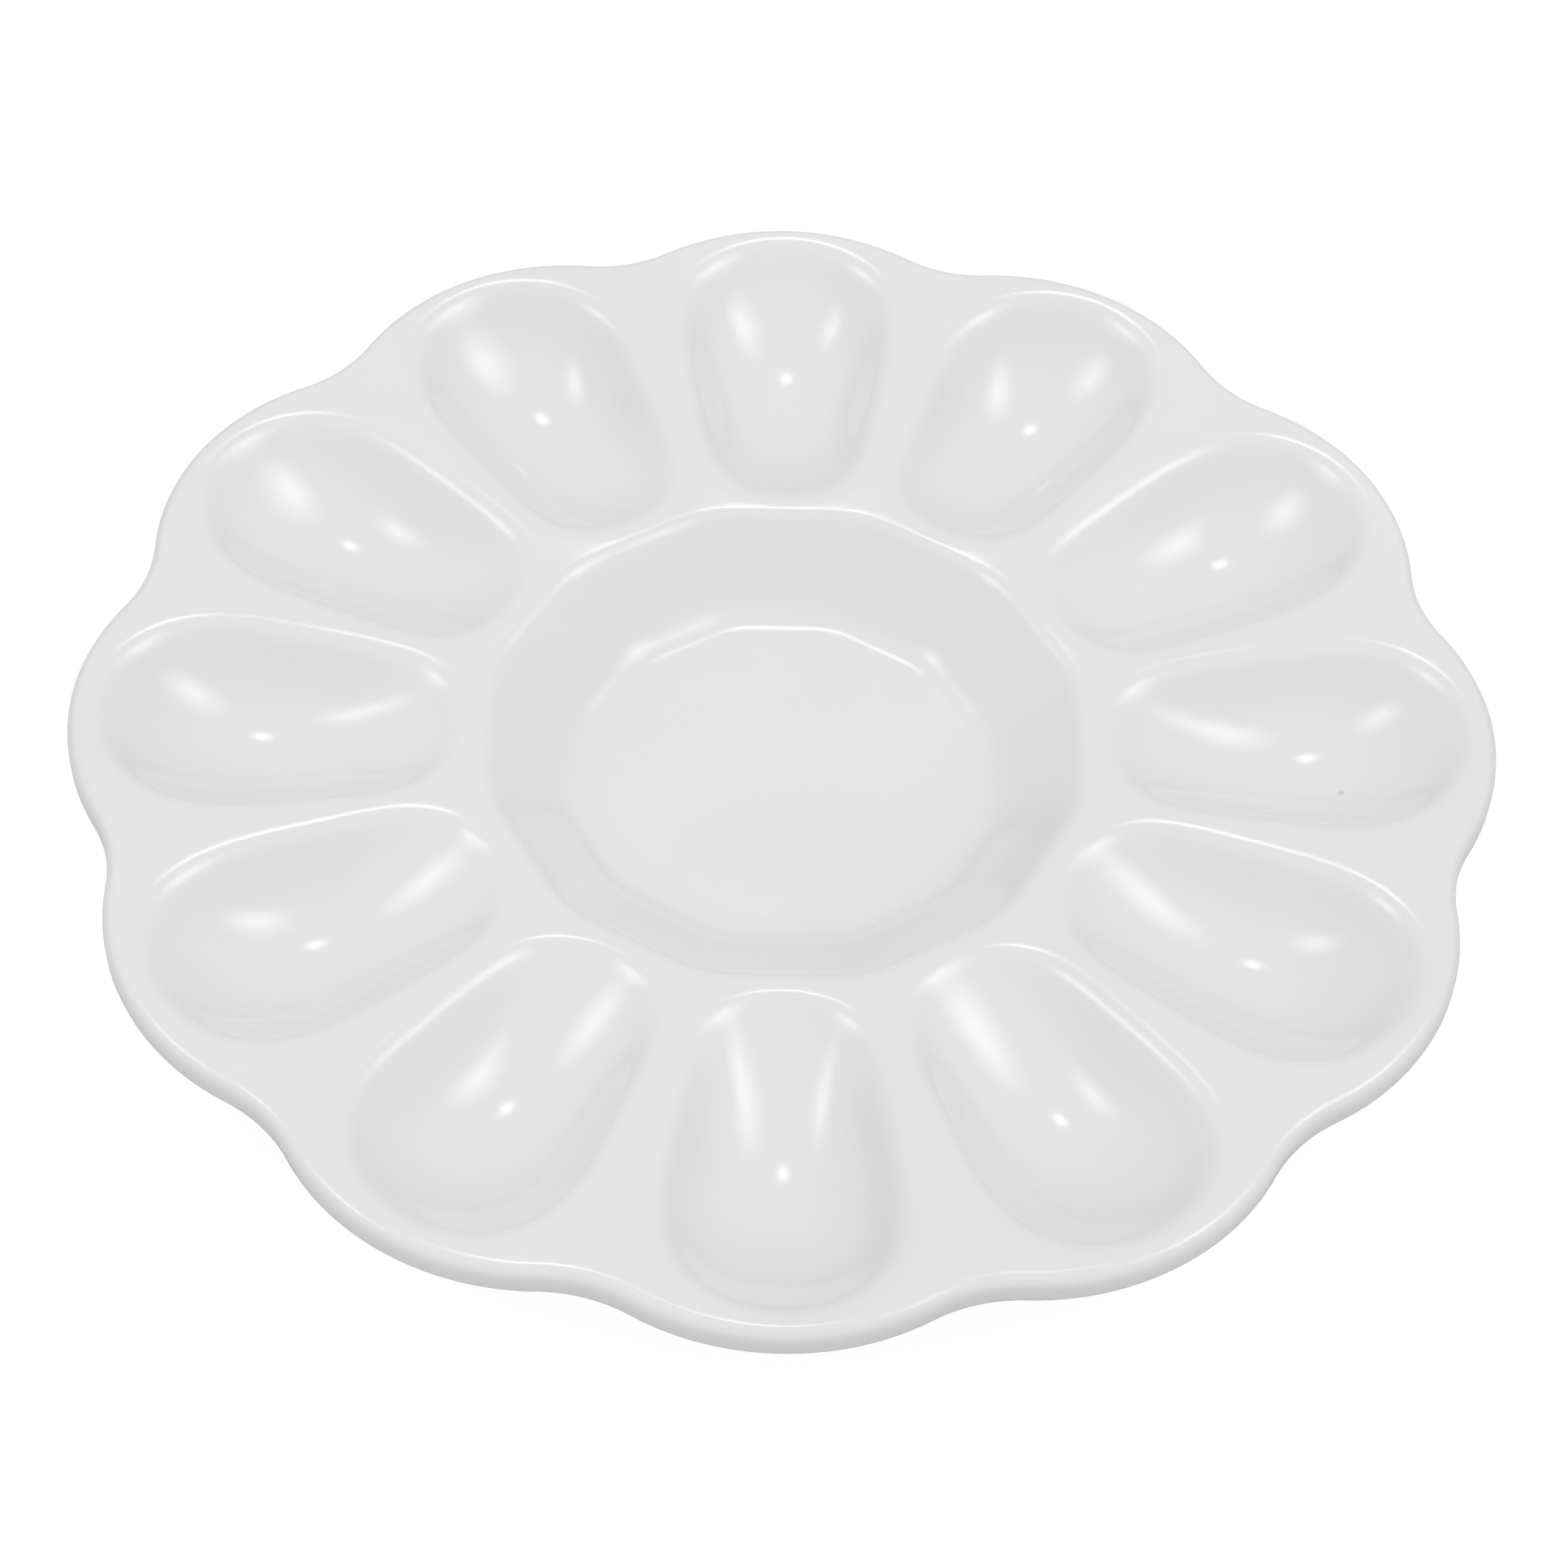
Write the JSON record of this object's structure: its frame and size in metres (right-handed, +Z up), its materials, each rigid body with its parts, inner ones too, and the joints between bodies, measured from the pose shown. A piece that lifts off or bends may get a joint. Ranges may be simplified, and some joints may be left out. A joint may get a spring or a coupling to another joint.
{
  "type": "deviled egg platter",
  "caption": "Round glazed porcelain platter with a scalloped rim, a ring of egg-shaped wells and a shallow many-sided well in the middle, on a bare foot ring.",
  "frame": {"origin": "centre of the foot ring, on the table that it stands on", "axes": "+Z up along the platter's axis, +Y towards one lobe of the rim and the egg well under it"},
  "size_m": [0.2802, 0.2802, 0.0239],
  "materials": {
    "bisque": "matte",
    "glaze": "gloss"
  },
  "bodies": {
    "root": {"porcelain_body": "bisque", "glaze_coat": "glaze", "foot_well_glaze": "glaze"}
  },
  "joints": []
}
